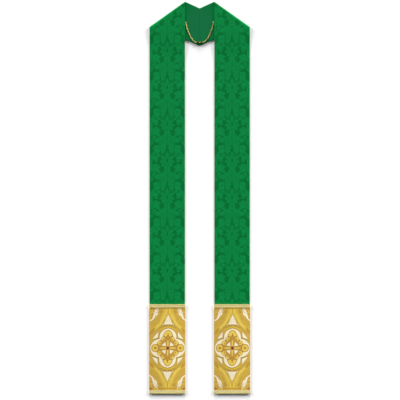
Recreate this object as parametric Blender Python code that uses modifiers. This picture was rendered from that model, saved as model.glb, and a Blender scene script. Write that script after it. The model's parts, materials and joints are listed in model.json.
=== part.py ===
"""A clerical stole laid out flat on a surface, in metres with +Z up.

The origin is on the surface under the middle of the stole. +Y runs to the neck, -Y to the
hems and X across the two fronts. Each half strap is one folded sheet: its back part lies on
the surface with the neck lining on it, it turns over at the shoulder, and its front lies on
top and comes down to the surface below the neck piece.
"""

import math

import bmesh
import bpy
from mathutils import Vector

MM = 0.001

# The whole stole. A "drop" is a distance below the top of the neck.
LENGTH = 1330 * MM
STRAP_WIDTH = 120 * MM
NECK_GAP = 100 * MM  # between the inner edges of the two fronts
TOP_Y = LENGTH / 2
HEM_Y = -LENGTH / 2

# Cloth.
STRAP_WALL = 1.6 * MM
LINING_WALL = 1.0 * MM
BAND_WALL = 1.0 * MM
BRAID_WALL = 1.0 * MM
SEAM_GAP = 0.3 * MM
LAYER_GAP = 0.4 * MM  # between the neck lining and the front that lies on it

# Neck and shoulders.
SHOULDER_DROP = 85 * MM  # of the outer end of the shoulder fold below its inner end
NOTCH_DROP = 22.4 * MM  # upper end of the centre-back seam
POINT_DROP = 149.6 * MM  # lower end of the centre-back seam
SIDE_DROP = 127.7 * MM  # lower neck edge where it meets the fronts' inner edges
SIDE_PLACE = 0.70  # how far along the back part that is, from the shoulder to the seam
LINING_INSET = 1.5 * MM
LEVEL_DROP = 210 * MM  # below this the front lies flat on the surface
DRAPE_LENGTH = 45 * MM  # over which the front comes down past the neck piece

# Ends.
BAND_DROP = 1027 * MM
BAND_CORNER = 4 * MM
BAND_EDGE = 0.7 * MM
BRAID_WIDTH = 12 * MM
BRAID_EDGE = 0.35 * MM

# Chain, with its fittings.
CHAIN_DIAMETER = 3.0 * MM
CHAIN_STEP = 6.5 * MM
CLASP_DIAMETER = 3.8 * MM
CLASP_LENGTH = 6.4 * MM
CLASP_DROP = 138.7 * MM
RING_RADIUS = 1.9 * MM
RING_WIRE = 0.45 * MM

# Where each length of chain lies, from its sewn ring to the clasp: across, and drop, in mm.
CHAIN_ROUTES = {
    "left": [
        (-46.6, 73.2), (-45.9, 77.6), (-44.4, 84.0), (-41.8, 94.0), (-37.4, 104.0),
        (-32.6, 115.0), (-27.2, 124.8), (-20.8, 132.2), (-14.2, 137.2), (-8.55, 139.2),
    ],
    "right": [
        (46.2, 72.8), (45.3, 77.6), (43.2, 85.0), (40.0, 95.5), (36.4, 104.5),
        (31.6, 116.0), (26.4, 125.0), (20.0, 132.0), (13.4, 137.0), (8.55, 139.0),
    ],
}  # fmt: skip
SEWN_RINGS = {"left": (-46.9, 70.4), "right": (46.5, 70.0)}

# Steps of the meshes.
COLUMNS = 12
FLAT_ROWS = 10
DRAPE_ROWS = 24
TURN_ROWS = 8
BACK_ROWS = 10

# Heights that follow from the layers.
LINING_TOP = STRAP_WALL + SEAM_GAP + LINING_WALL
FRONT_LIFT = LINING_TOP + LAYER_GAP
STACK = FRONT_LIFT + STRAP_WALL
TURN_RADIUS = (STACK - STRAP_WALL) / 2  # of the middle of the cloth, round the fold
BAND_TOP = STRAP_WALL + SEAM_GAP + BAND_WALL
STRAP_CORNER = BAND_CORNER - BAND_WALL - SEAM_GAP  # inside the band's own round corner

# The shoulder fold of the right half: its direction, and the way out across it.
INNER_X = NECK_GAP / 2
OUTER_X = INNER_X + STRAP_WIDTH
FOLD_ALONG = Vector((STRAP_WIDTH, -SHOULDER_DROP)).normalized()
FOLD_OUT = Vector((-FOLD_ALONG.y, FOLD_ALONG.x))
FOLD_START = Vector((INNER_X, TOP_Y)) - FOLD_OUT * STACK / 2
# One metre up the strap moves this far along the fold for each metre across it.
FOLD_SLIP = FOLD_ALONG.y / FOLD_OUT.y

SIDES = {"left": -1, "right": 1}


def clear_scene():
    for obj in list(bpy.data.objects):
        bpy.data.objects.remove(obj, do_unlink=True)


def material(name, colour, roughness, metallic=0.0):
    made = bpy.data.materials.new(name)
    made.use_nodes = True
    shader = made.node_tree.nodes["Principled BSDF"]
    shader.inputs["Base Color"].default_value = (*colour, 1.0)
    shader.inputs["Roughness"].default_value = roughness
    shader.inputs["Metallic"].default_value = metallic
    return made


def add_object(name, data, surface, collection):
    obj = bpy.data.objects.new(name, data)
    collection.objects.link(obj)
    if surface:
        data.materials.append(surface)
    return obj


def add_modifier(obj, kind, **settings):
    modifier = obj.modifiers.new(kind.title(), kind)
    for name, value in settings.items():
        setattr(modifier, name, value)
    return modifier


def between(start, end, place):
    return start + (end - start) * place


def share(count):
    """The places from 0 to 1 that divide a length into count steps."""
    return [step / count for step in range(count + 1)]


def across():
    """The places across the strap, closer together where the hem's corners round off."""
    corner = STRAP_CORNER / STRAP_WIDTH
    near = [corner * place for place in (0.1, 0.4, 1.0)]
    return sorted({*share(COLUMNS), *near, *(1 - place for place in near)})


def columns():
    return [between(INNER_X, OUTER_X, place) for place in across()]


# The half strap, as rows of points on the middle of the cloth, for the right half.


def fold_y(x):
    """Where the flat of the front meets the fold."""
    return FOLD_START.y + (x - FOLD_START.x) * FOLD_ALONG.y / FOLD_ALONG.x


def turned(x, angle):
    """The middle of the cloth in the fold: angle runs from 0 on the front to pi on the back."""
    flat = Vector((x, fold_y(x)))
    flat += FOLD_ALONG * FOLD_SLIP * TURN_RADIUS * angle
    flat += FOLD_OUT * TURN_RADIUS * math.sin(angle)
    height = STACK / 2 + TURN_RADIUS * math.cos(angle)
    return Vector((*flat, height))


def lower_edge():
    """The neck piece's lower edge: its shoulder end, its bend at the front's edge and its point."""
    shoulder = turned(OUTER_X, math.pi).xy
    bend = Vector((INNER_X, TOP_Y - SIDE_DROP))
    point = Vector((SEAM_GAP / 2, TOP_Y - POINT_DROP))
    return shoulder, bend, point


def front_height(x, y):
    """The front's underside: on the neck lining, then easing down to the surface."""
    shoulder, bend, _ = lower_edge()
    along = (bend - shoulder).normalized()
    past = Vector((x, y)) - shoulder
    below = past.y * along.x - past.x * along.y
    eased = min(max(below / DRAPE_LENGTH, 0.0), 1.0)
    return FRONT_LIFT * (0.5 + 0.5 * math.cos(math.pi * eased))


def front_rows():
    level_y = TOP_Y - LEVEL_DROP
    rows = []
    for place in share(FLAT_ROWS)[:-1]:
        rows.append([(x, between(hem_y(x), level_y, place)) for x in columns()])
    for place in share(DRAPE_ROWS):
        rows.append([(x, between(level_y, fold_y(x), place)) for x in columns()])
    middle = STRAP_WALL / 2
    return [[Vector((x, y, front_height(x, y) + middle)) for x, y in row] for row in rows]


def hem_y(x):
    """The strap's own hem, inside the band, with its corners rounded."""
    from_centre = STRAP_CORNER - min(x - INNER_X, OUTER_X - x)
    rise = STRAP_CORNER - math.sqrt(STRAP_CORNER**2 - max(from_centre, 0.0) ** 2)
    return HEM_Y + BAND_WALL + SEAM_GAP + rise


def back_rows(inset, start, height):
    """Rows across the back part, from the shoulder fold to the centre-back seam."""
    shoulder, bend, point = lower_edge()
    top = turned(INNER_X, math.pi).xy
    notch = Vector((SEAM_GAP / 2, TOP_Y - NOTCH_DROP))
    places = sorted({*share(BACK_ROWS), SIDE_PLACE, start} - {0.0})
    rows = []
    for place in places:
        if place < start:
            continue
        upper = between(top, notch, place)
        if place < SIDE_PLACE:
            lower = between(shoulder, bend, place / SIDE_PLACE)
        else:
            lower = between(bend, point, (place - SIDE_PLACE) / (1 - SIDE_PLACE))
        inward = (lower - upper).normalized() * inset
        ends = upper + inward, lower - inward
        rows.append([Vector((*between(*ends, step), height)) for step in across()])
    return rows


def strap_rows():
    angles = [math.pi * place for place in share(TURN_ROWS)[1:]]
    turn = [[turned(x, angle) for x in columns()] for angle in angles]
    return front_rows() + turn + back_rows(0.0, 0.0, STRAP_WALL / 2)


def lining_rows():
    start = LINING_INSET / STRAP_WIDTH
    return back_rows(LINING_INSET, start, STRAP_WALL + SEAM_GAP + LINING_WALL / 2)


def cloth(name, rows, side, wall, surface, collection):
    """A sheet through rows of points, mirrored to its side and given its wall."""
    mesh = bpy.data.meshes.new(name)
    sheet = bmesh.new()
    points = [[sheet.verts.new((side * at.x, at.y, at.z)) for at in row] for row in rows]
    for low, high in zip(points, points[1:]):
        for left in range(len(low) - 1):
            sheet.faces.new((low[left], low[left + 1], high[left + 1], high[left]))
    bmesh.ops.recalc_face_normals(sheet, faces=sheet.faces)
    for face in sheet.faces:
        face.smooth = True
    sheet.to_mesh(mesh)
    sheet.free()
    obj = add_object(name, mesh, surface, collection)
    add_modifier(obj, "SOLIDIFY", thickness=wall, offset=0.0, use_even_offset=True)
    return obj


# The ends.


def box(name, low, high, surface, collection):
    mesh = bpy.data.meshes.new(name)
    form = bmesh.new()
    bmesh.ops.create_cube(form, size=1.0)
    size = Vector(high) - Vector(low)
    middle = (Vector(high) + Vector(low)) / 2
    for vert in form.verts:
        vert.co = Vector([co * length for co, length in zip(vert.co, size)]) + middle
    form.to_mesh(mesh)
    form.free()
    return add_object(name, mesh, surface, collection)


def round_edges(obj, radius, segments, chosen):
    """Rounds the edges of a box that chosen(start, end) picks."""
    form = bmesh.new()
    form.from_mesh(obj.data)
    edges = [edge for edge in form.edges if chosen(*(vert.co for vert in edge.verts))]
    bmesh.ops.bevel(
        form, geom=edges, offset=radius, segments=segments, profile=0.5, affect="EDGES"
    )
    form.to_mesh(obj.data)
    form.free()


def hem_corner(start, end):
    """An upright edge at the hem."""
    return abs(start.z - end.z) > MM and min(start.y, end.y) < HEM_Y + BAND_CORNER


def strip(name, side, low, high, surface, collection):
    """A box across one front, as wide as the band with its turned edges."""
    reach = BAND_WALL + SEAM_GAP
    ends = sorted((side * (INNER_X - reach), side * (OUTER_X + reach)))
    return box(name, (ends[0], *low), (ends[1], *high), surface, collection)


def band(name, side, surface, collection, cutters):
    """Brocade over the end of a front, turned down at its sides and hem."""
    top_y = TOP_Y - BAND_DROP
    made = strip(name, side, (HEM_Y, 0.0), (top_y, BAND_TOP), surface, collection)
    round_edges(made, BAND_CORNER, 4, hem_corner)
    round_edges(
        made,
        BAND_EDGE,
        2,
        lambda a, b: min(a.z, b.z) > BAND_TOP / 2 and min(a.y, b.y) < top_y - MM,
    )
    ends = sorted((side * (INNER_X - SEAM_GAP), side * (OUTER_X + SEAM_GAP)))
    low = (ends[0], HEM_Y + BAND_WALL, -BAND_TOP)
    high = (ends[1], top_y + BAND_TOP, STRAP_WALL + SEAM_GAP)
    inside = box(name + "_inside", low, high, None, cutters)
    round_edges(inside, BAND_CORNER - BAND_WALL, 4, hem_corner)
    inside.hide_render = True
    inside.hide_viewport = True
    add_modifier(made, "BOOLEAN", operation="DIFFERENCE", object=inside, solver="EXACT")
    return made


def braid(name, side, low_y, surface, collection):
    low = (low_y, BAND_TOP + SEAM_GAP)
    high = (low_y + BRAID_WIDTH, BAND_TOP + SEAM_GAP + BRAID_WALL)
    made = strip(name, side, low, high, surface, collection)
    round_edges(made, BAND_CORNER, 4, hem_corner)
    add_modifier(made, "BEVEL", width=BRAID_EDGE, segments=2, angle_limit=math.radians(60))
    return made


# The chain.


def smooth_route(points, step):
    """Points a step apart on the smooth curve through these ones."""
    ends = [points[0] * 2 - points[1], *points, points[-1] * 2 - points[-2]]
    curve = []
    for before, start, end, after in zip(ends, ends[1:], ends[2:], ends[3:]):
        for place in share(16)[:-1]:
            linear = (end - before) * place
            square = (before * 2 - start * 5 + end * 4 - after) * place**2
            cube = (start * 3 - before - end * 3 + after) * place**3
            curve.append(start + (linear + square + cube) / 2)
    curve.append(points[-1])
    run = [0.0]
    for start, end in zip(curve, curve[1:]):
        run.append(run[-1] + (end - start).length)
    count = round(run[-1] / step)
    route = []
    for goal in (run[-1] * place for place in share(count)):
        at = max(1, next(i for i, length in enumerate(run) if length >= goal - MM * MM))
        piece = (goal - run[at - 1]) / (run[at] - run[at - 1])
        route.append(between(curve[at - 1], curve[at], min(piece, 1.0)))
    return route


def on_lining(across_mm, drop_mm, rise):
    return Vector((across_mm * MM, TOP_Y - drop_mm * MM, LINING_TOP + SEAM_GAP + rise))


def chain(name, route, surface, collection):
    curve = bpy.data.curves.new(name, "CURVE")
    curve.dimensions = "3D"
    curve.bevel_depth = CHAIN_DIAMETER / 2
    curve.bevel_resolution = 2
    curve.use_fill_caps = True
    points = smooth_route([on_lining(*at, CHAIN_DIAMETER / 2) for at in route], CHAIN_STEP)
    spline = curve.splines.new("POLY")
    spline.points.add(len(points) - 1)
    for point, place in zip(spline.points, points):
        point.co = (*place, 1.0)
    return add_object(name, curve, surface, collection)


def ring(name, place, surface, collection):
    bpy.ops.mesh.primitive_torus_add(
        location=place,
        major_radius=RING_RADIUS,
        minor_radius=RING_WIRE,
        major_segments=24,
        minor_segments=8,
    )
    made = bpy.context.object
    bpy.context.collection.objects.unlink(made)
    collection.objects.link(made)
    made.name = name
    made.data.name = name
    made.data.materials.append(surface)
    return made


def clasp(surface, collection):
    mesh = bpy.data.meshes.new("clasp")
    form = bmesh.new()
    bmesh.ops.create_cone(
        form,
        cap_ends=True,
        segments=20,
        radius1=CLASP_DIAMETER / 2,
        radius2=CLASP_DIAMETER / 2,
        depth=CLASP_LENGTH,
    )
    form.to_mesh(mesh)
    form.free()
    made = add_object("clasp", mesh, surface, collection)
    made.location = on_lining(0.0, CLASP_DROP / MM, CLASP_DIAMETER / 2)
    made.rotation_euler.y = math.pi / 2
    add_modifier(made, "BEVEL", width=CLASP_DIAMETER / 5, segments=3)
    return made


def build():
    clear_scene()
    collection = bpy.data.collections.new("clerical_stole")
    cutters = bpy.data.collections.new("cutters")
    for group in (collection, cutters):
        bpy.context.scene.collection.children.link(group)

    damask = material("green_damask", (0.006, 0.200, 0.047), 0.45)
    satin = material("green_satin", (0.009, 0.163, 0.052), 0.40)
    brocade = material("gold_brocade", (0.610, 0.430, 0.115), 0.50)
    woven = material("gold_braid", (0.640, 0.550, 0.240), 0.50)
    metal = material("gold_metal", (0.720, 0.460, 0.130), 0.30, metallic=1.0)

    for word, side in SIDES.items():
        cloth("strap_" + word, strap_rows(), side, STRAP_WALL, damask, collection)
        cloth("neck_lining_" + word, lining_rows(), side, LINING_WALL, satin, collection)
        band("band_" + word, side, brocade, collection, cutters)
        braid("braid_top_" + word, side, TOP_Y - BAND_DROP - BRAID_WIDTH, woven, collection)
        braid("braid_hem_" + word, side, HEM_Y, woven, collection)
        chain("chain_" + word, CHAIN_ROUTES[word], metal, collection)
        ring("sewn_ring_" + word, on_lining(*SEWN_RINGS[word], RING_WIRE), metal, collection)
        reach = CLASP_LENGTH / 2 + SEAM_GAP + RING_RADIUS + RING_WIRE
        place = on_lining(side * reach / MM, CLASP_DROP / MM, RING_WIRE)
        ring("clasp_ring_" + word, place, metal, collection)
    clasp(metal, collection)


build()
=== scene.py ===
"""The looks of a clerical stole laid out flat: damask, satin, brocade, braid and chain.

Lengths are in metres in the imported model's frame: +Y runs to the neck, -Y to the hems and X
across the two fronts, and Z is the height above the surface that the stole lies on. A "drop" is
a distance below the top of the neck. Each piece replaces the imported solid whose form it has.
"""

import json
import math

import bmesh
import bpy
from mathutils import Matrix, Vector, noise

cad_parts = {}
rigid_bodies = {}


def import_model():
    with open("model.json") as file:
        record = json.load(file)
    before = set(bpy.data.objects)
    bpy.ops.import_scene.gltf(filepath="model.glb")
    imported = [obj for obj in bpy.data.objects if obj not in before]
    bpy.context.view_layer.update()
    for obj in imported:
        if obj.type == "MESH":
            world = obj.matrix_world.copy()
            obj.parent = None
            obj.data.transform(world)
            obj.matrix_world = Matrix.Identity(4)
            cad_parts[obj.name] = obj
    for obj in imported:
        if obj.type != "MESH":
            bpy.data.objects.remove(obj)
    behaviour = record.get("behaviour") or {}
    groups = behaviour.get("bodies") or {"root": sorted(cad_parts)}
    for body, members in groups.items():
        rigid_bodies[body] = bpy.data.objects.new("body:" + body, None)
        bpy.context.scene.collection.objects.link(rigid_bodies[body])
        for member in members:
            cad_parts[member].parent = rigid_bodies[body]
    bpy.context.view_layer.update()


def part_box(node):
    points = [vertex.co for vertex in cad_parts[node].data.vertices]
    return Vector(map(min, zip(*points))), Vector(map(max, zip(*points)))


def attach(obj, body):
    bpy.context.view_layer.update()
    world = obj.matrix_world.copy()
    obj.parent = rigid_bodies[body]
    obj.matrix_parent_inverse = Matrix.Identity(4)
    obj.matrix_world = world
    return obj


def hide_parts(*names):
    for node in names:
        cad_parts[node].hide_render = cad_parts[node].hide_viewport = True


for leftover in list(bpy.data.objects):
    bpy.data.objects.remove(leftover, do_unlink=True)
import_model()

MM = 0.001
NEAR = 0.01 * MM  # closer than this counts as the same place
SIDES = {"left": -1, "right": 1}

# The stole's outline, worked out on the right side.
TOP_Y = 665 * MM
HEM_Y = -665 * MM
INNER_X = 50 * MM  # the front's edges
OUTER_X = 170 * MM
CENTRE_X = (INNER_X + OUTER_X) / 2
SHOULDER_DROP = 85 * MM
NOTCH_DROP = 22.4 * MM  # the centre-back seam's two ends
POINT_DROP = 149.6 * MM
SIDE_DROP = 127.7 * MM  # the neck piece's lower edge where the front's inner edge crosses it
SIDE_PLACE = 0.70  # how far that is from the shoulder fold to the centre-back seam
LEVEL_DROP = 210 * MM  # the front is flat from here to the hem
DRAPE_LENGTH = 78 * MM  # over which the front comes down past the neck piece
STRAP_CORNER = 2.7 * MM
LINING_INSET = 1.5 * MM
BAND_CORNER = 4 * MM
BAND_EDGE = 0.7 * MM

# Its layers.
STRAP_WALL = 1.6 * MM
LINING_WALL = 1.0 * MM
BAND_WALL = 1.0 * MM
SEAM_GAP = 0.3 * MM
CENTRE_GAP = 0.06 * MM  # between the two sides at the centre-back seam
LAYER_GAP = 0.4 * MM

# Heights that follow from the layers, and the slanted fold at the right shoulder.
LINING_TOP = STRAP_WALL + SEAM_GAP + LINING_WALL
FRONT_LIFT = LINING_TOP + LAYER_GAP
STACK = FRONT_LIFT + STRAP_WALL
TURN_RADIUS = (STACK - STRAP_WALL) / 2
FOLD_ALONG = Vector((OUTER_X - INNER_X, -SHOULDER_DROP)).normalized()
FOLD_OUT = Vector((-FOLD_ALONG.y, FOLD_ALONG.x))
FOLD_START = Vector((INNER_X, TOP_Y)) - FOLD_OUT * STACK / 2
FOLD_SLIP = FOLD_ALONG.y / FOLD_OUT.y
# The crease of that fold on the cut cloth, measured in mm from the strap's middle.
FOLD_CUT = (FOLD_START + Vector((-CENTRE_X, TURN_RADIUS * math.pi / 2 / FOLD_OUT.y))) / MM

# Where each length of the chain lies, from its sewn ring to the clasp: across and drop, in mm.
CHAIN_ROUTES = {
    "left": [
        (-46.6, 73.2), (-45.9, 77.6), (-44.4, 84.0), (-41.8, 94.0), (-37.4, 104.0),
        (-32.6, 115.0), (-27.2, 124.8), (-20.8, 132.2), (-14.2, 137.2), (-8.55, 139.2),
    ],
    "right": [
        (46.2, 72.8), (45.3, 77.6), (43.2, 85.0), (40.0, 95.5), (36.4, 104.5),
        (31.6, 116.0), (26.4, 125.0), (20.0, 132.0), (13.4, 137.0), (8.55, 139.0),
    ],
}
LINK_WIRE = 0.45 * MM  # radius
LINK_HALF = 2.3 * MM  # half its length outside
LINK_SIDE = 1.3 * MM  # from its middle to the middle of its side wire
LINK_TILT = math.radians(30)
LINK_STEP = 2.8 * MM
LINK_HEIGHT = 4.3 * MM
CLASP_RING_WIRE = 0.65 * MM
RING_HEIGHT = 4.6 * MM
EYE_RADIUS = 0.95 * MM
EYE_WIRE = 0.3 * MM

# The braids: a ribbon, its raised threads and the twisted cord on its edges.
RIBBON_HEIGHT = 0.5 * MM
RIBBON_EDGE = 0.2 * MM
FLOAT_WIDTH = 1.15 * MM
FLOAT_HEIGHT = 0.55 * MM
FLOAT_PITCH = 1.25 * MM
CORD_WIDTH = 1.5 * MM
TWIST_WIDTH = 0.9 * MM
TWIST_HEIGHT = 0.75 * MM
TWIST_SLANT = 1.3 * MM
TWIST_PITCH = 0.95 * MM

# The camera, and the light of a day in a pale room.
CAMERA_PLACE = (1.2 * MM, -7.8 * MM, 6.0)
FRAME_WIDTH = 1357.8 * MM
SENSOR = 36.0
# Each soft window: how many degrees high it stands, how far it is turned to the right from beyond
# the neck, and how much of the light it gives.
WINDOWS = {"neck": (13.5, 0, 0.39), "left": (15.5, -54, 0.3), "right": (15.5, 54, 0.3)}
WINDOW_WIDTH = 16  # degrees, as seen from the cloth
SOFT_LIGHT = 0.14
SCENE_LIGHT = 1.12  # how bright a white surface comes out


def straight_down_camera():
    made = bpy.data.cameras.new("camera")
    made.sensor_width = SENSOR
    made.lens = SENSOR * CAMERA_PLACE[2] / FRAME_WIDTH
    made.clip_end = 100.0
    camera = bpy.data.objects.new("camera", made)
    camera.location = CAMERA_PLACE
    bpy.context.scene.collection.objects.link(camera)
    bpy.context.scene.camera = camera


def between(start, end, place):
    return start + (end - start) * place


def share(count):
    """The places from 0 to 1 that divide a length into count steps."""
    return [step / count for step in range(count + 1)]


# Materials.


class Value:
    """A number at each point of a surface. Arithmetic on it adds Math nodes."""

    def __init__(self, finish, socket):
        self.finish = finish
        self.socket = socket

    def __add__(self, other):
        return calculate("ADD", self, other)

    def __radd__(self, other):
        return calculate("ADD", other, self)

    def __sub__(self, other):
        return calculate("SUBTRACT", self, other)

    def __rsub__(self, other):
        return calculate("SUBTRACT", other, self)

    def __mul__(self, other):
        return calculate("MULTIPLY", self, other)

    def __rmul__(self, other):
        return calculate("MULTIPLY", other, self)

    def __truediv__(self, other):
        return calculate("DIVIDE", self, other)

    def __abs__(self):
        return calculate("ABSOLUTE", self)


def calculate(operation, *values):
    finish = next(value.finish for value in values if isinstance(value, Value))
    return finish.node("Math", {"operation": operation}, dict(enumerate(values)))


def smallest(*values):
    made = values[0]
    for value in values[1:]:
        made = calculate("MINIMUM", made, value)
    return made


def linear(red, green, blue):
    """A display colour, 0 to 255, as the scene's light needs it."""
    parts = [part / 255 for part in (red, green, blue)]
    parts = [part / 12.92 if part < 0.04045 else ((part + 0.055) / 1.055) ** 2.4 for part in parts]
    return (*[part / SCENE_LIGHT for part in parts], 1.0)


class Finish:
    """One material, built from nodes."""

    def __init__(self, name, constants=None):
        self.material = bpy.data.materials.new(name)
        self.material.use_nodes = True
        self.tree = self.material.node_tree
        self.shader = self.tree.nodes["Principled BSDF"]
        for socket, value in (constants or {}).items():
            self.set(socket, value)

    def node(self, kind, settings=None, sockets=None, output=0):
        """Adds a node: its type, its settings, and the values or links of its sockets."""
        made = self.tree.nodes.new("ShaderNode" + kind)
        for name, value in (settings or {}).items():
            setattr(made, name, value)
        for key, value in (sockets or {}).items():
            self.join(value, made.inputs[key])
        return Value(self, made.outputs[output])

    def join(self, value, socket):
        if isinstance(value, Value):
            self.tree.links.new(value.socket, socket)
        else:
            socket.default_value = value

    def mix(self, factor, first, second):
        sockets = {0: factor, 6: first, 7: second}
        return self.node("Mix", {"data_type": "RGBA"}, sockets, output=2)

    def blend(self, factor, first, second):
        """A number that goes from one value to another as the factor goes from 0 to 1."""
        return self.node("Mix", {"data_type": "FLOAT"}, {0: factor, 2: first, 3: second})

    def shaded(self, colour, tone):
        """The colour made darker or lighter by a number that varies."""
        settings = {"data_type": "RGBA", "blend_type": "MULTIPLY"}
        return self.node("Mix", settings, {0: 1.0, 6: colour, 7: tone}, output=2)

    def place(self, uv=None):
        """Where a point is, in millimetres: on the cut cloth, or in the object."""
        if uv:
            at = self.node("UVMap", {"uv_map": uv})
        else:
            at = self.node("TexCoord", output=3)
        return self.node("VectorMath", {"operation": "SCALE"}, {0: at, 3: 1 / MM})

    def moved(self, at, across=0.0, up=0.0, turn=0.0, scale=(1.0, 1.0, 1.0)):
        """The same place seen from another origin, turned by degrees and measured in other units."""
        sockets = {0: at, 1: (across, up, 0.0), 2: (0.0, 0.0, math.radians(turn)), 3: scale}
        return self.node("Mapping", {"vector_type": "TEXTURE"}, sockets)

    def apart(self, at):
        parts = self.node("SeparateXYZ", sockets={0: at})
        return [Value(self, socket) for socket in parts.socket.node.outputs]

    def together(self, across, up):
        return self.node("CombineXYZ", sockets={0: across, 1: up})

    def length(self, at):
        return self.node("VectorMath", {"operation": "LENGTH"}, {0: at}, output=1)

    def noise(self, at, size, detail=2.0, stretch=(1.0, 1.0, 1.0)):
        """Soft noise from 0 to 1 with lumps of about that size, in millimetres."""
        at = self.moved(at, scale=[size * length for length in stretch])
        sockets = {"Vector": at, "Scale": 1.0, "Detail": detail, "Roughness": 0.55}
        return self.node("TexNoise", sockets=sockets)

    def step(self, value, edge, soft):
        """1 where the value is below the edge and 0 above it, with a soft border."""
        sockets = {"Value": value, "From Min": edge + soft, "From Max": edge - soft}
        return self.node("MapRange", {"interpolation_type": "SMOOTHSTEP"}, sockets)

    def ease(self, value, low, high, start=0.0, end=1.0):
        sockets = {"Value": value, "From Min": low, "From Max": high, "To Min": start, "To Max": end}
        return self.node("MapRange", {"interpolation_type": "SMOOTHSTEP"}, sockets)

    def set(self, socket, value):
        self.join(value, self.shader.inputs[socket])

    def relief(self, height, distance, strength=1.0):
        sockets = {"Strength": strength, "Distance": distance, "Height": height}
        self.set("Normal", self.node("Bump", sockets=sockets))


# Woven figures. Each shape of a figure gives a value and the edge below which is its inside, both
# in millimetres, from its middle (across, up), its half length, its half width and its turn.


def leaf_shape(finish, at, across, up, length, width, turn):
    """A lens, pointed at both ends."""
    radius = (length**2 + width**2) / (2 * width)
    local = finish.moved(at, across, up, turn)
    local = finish.node("VectorMath", {"operation": "ABSOLUTE"}, {0: local})
    local = finish.node("VectorMath", {"operation": "ADD"}, {0: local, 1: (0.0, radius - width, 0.0)})
    return finish.length(local), radius


def round_shape(finish, at, across, up, length, width, turn):
    """An ellipse."""
    least = min(length, width)
    scale = (length / least, width / least, 1.0)
    return finish.length(finish.moved(at, across, up, turn, scale)), least


def flower_shape(finish, at, across, up, radius, lobe, lobes):
    """A disc with lobes round it."""
    local = finish.moved(at, across, up)
    x, y, _ = finish.apart(local)
    angle = calculate("ARCTAN2", y, x)
    return finish.length(local) - calculate("COSINE", angle * lobes) * lobe, radius


def spiral_shape(finish, at, across, up, radius, pitch, wire):
    """A coiled line of that thickness, turning the other way where it is negative."""
    local = finish.moved(at, across, up)
    x, y, _ = finish.apart(local)
    turns = calculate("ARCTAN2", y, x) * (math.copysign(0.5, wire) / math.pi)
    distance = finish.length(local)
    phase = calculate("WRAP", distance / pitch + turns, 1.0, 0.0)
    edge = abs(wire) / 2
    return calculate("MAXIMUM", abs(phase - 0.5) * pitch, distance - (radius - edge)), edge


def rays_shape(finish, at, across, up, radius, width, count):
    """Thin spokes, twice that many."""
    local = finish.moved(at, across, up)
    x, y, _ = finish.apart(local)
    distance = finish.length(local)
    swing = abs(calculate("SINE", calculate("ARCTAN2", y, x) * count)) * distance
    return calculate("MAXIMUM", swing / count, distance - (radius - width)), width


def wedge_shape(finish, at, across, up, length, width, turn):
    """An endless wedge with its tip that length along its turn, twice its width across there."""
    slant = math.hypot(width, 2 * length)
    x, y, _ = finish.apart(finish.moved(at, across, up, turn))
    return (x - length) * (width / slant) + abs(y) * (2 * length / slant), 0.0


def peak_shape(finish, at, across, up, length, width, turn):
    """A triangle whose tip points along its turn and whose base is twice its width."""
    side, edge = wedge_shape(finish, at, across, up, length, width, turn)
    x, _, _ = finish.apart(finish.moved(at, across, up, turn))
    return calculate("MAXIMUM", side, -length - x), edge


LEAF, ROUND, FLOWER, SPIRAL = leaf_shape, round_shape, flower_shape, spiral_shape
RAYS, WEDGE, PEAK = rays_shape, wedge_shape, peak_shape

# The damask. Its figure repeats along the cut cloth from a round flower, and is mirrored from
# half to half. Lengths are in mm.
DAMASK_REPEAT = 124.4
DAMASK_TOP = 62.2  # from the flower's middle to the top of its repeat
DAMASK_FLOWER_Y = 499.7  # the middle of the first flower on the cut cloth
DAMASK_HALF = 62.0  # from the strap's middle to where the figure turns back
DAMASK_SOFT = 0.3
BRIGHT_SHADE = 0.8  # motifs paler than this get a darker outline
DAMASK_OUTLINE = 0.6
OUTLINE_SHADE = 0.3
CLOUD_SHADES = (0.2, 0.4)  # motifs between these shades are clouds, with a softer border
CLOUD_SOFT = 3.0
# The side veins of its big leaves: across, down and turn.
BIG_LEAF_VEINS = [
    (8.5, -38, 40),
    (16.5, -36, 130),
    (8.0, -50, 50),
    (16.5, -48, 125),
    (8.0, -62, 55),
    (16.0, -60, 120),
]
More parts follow.
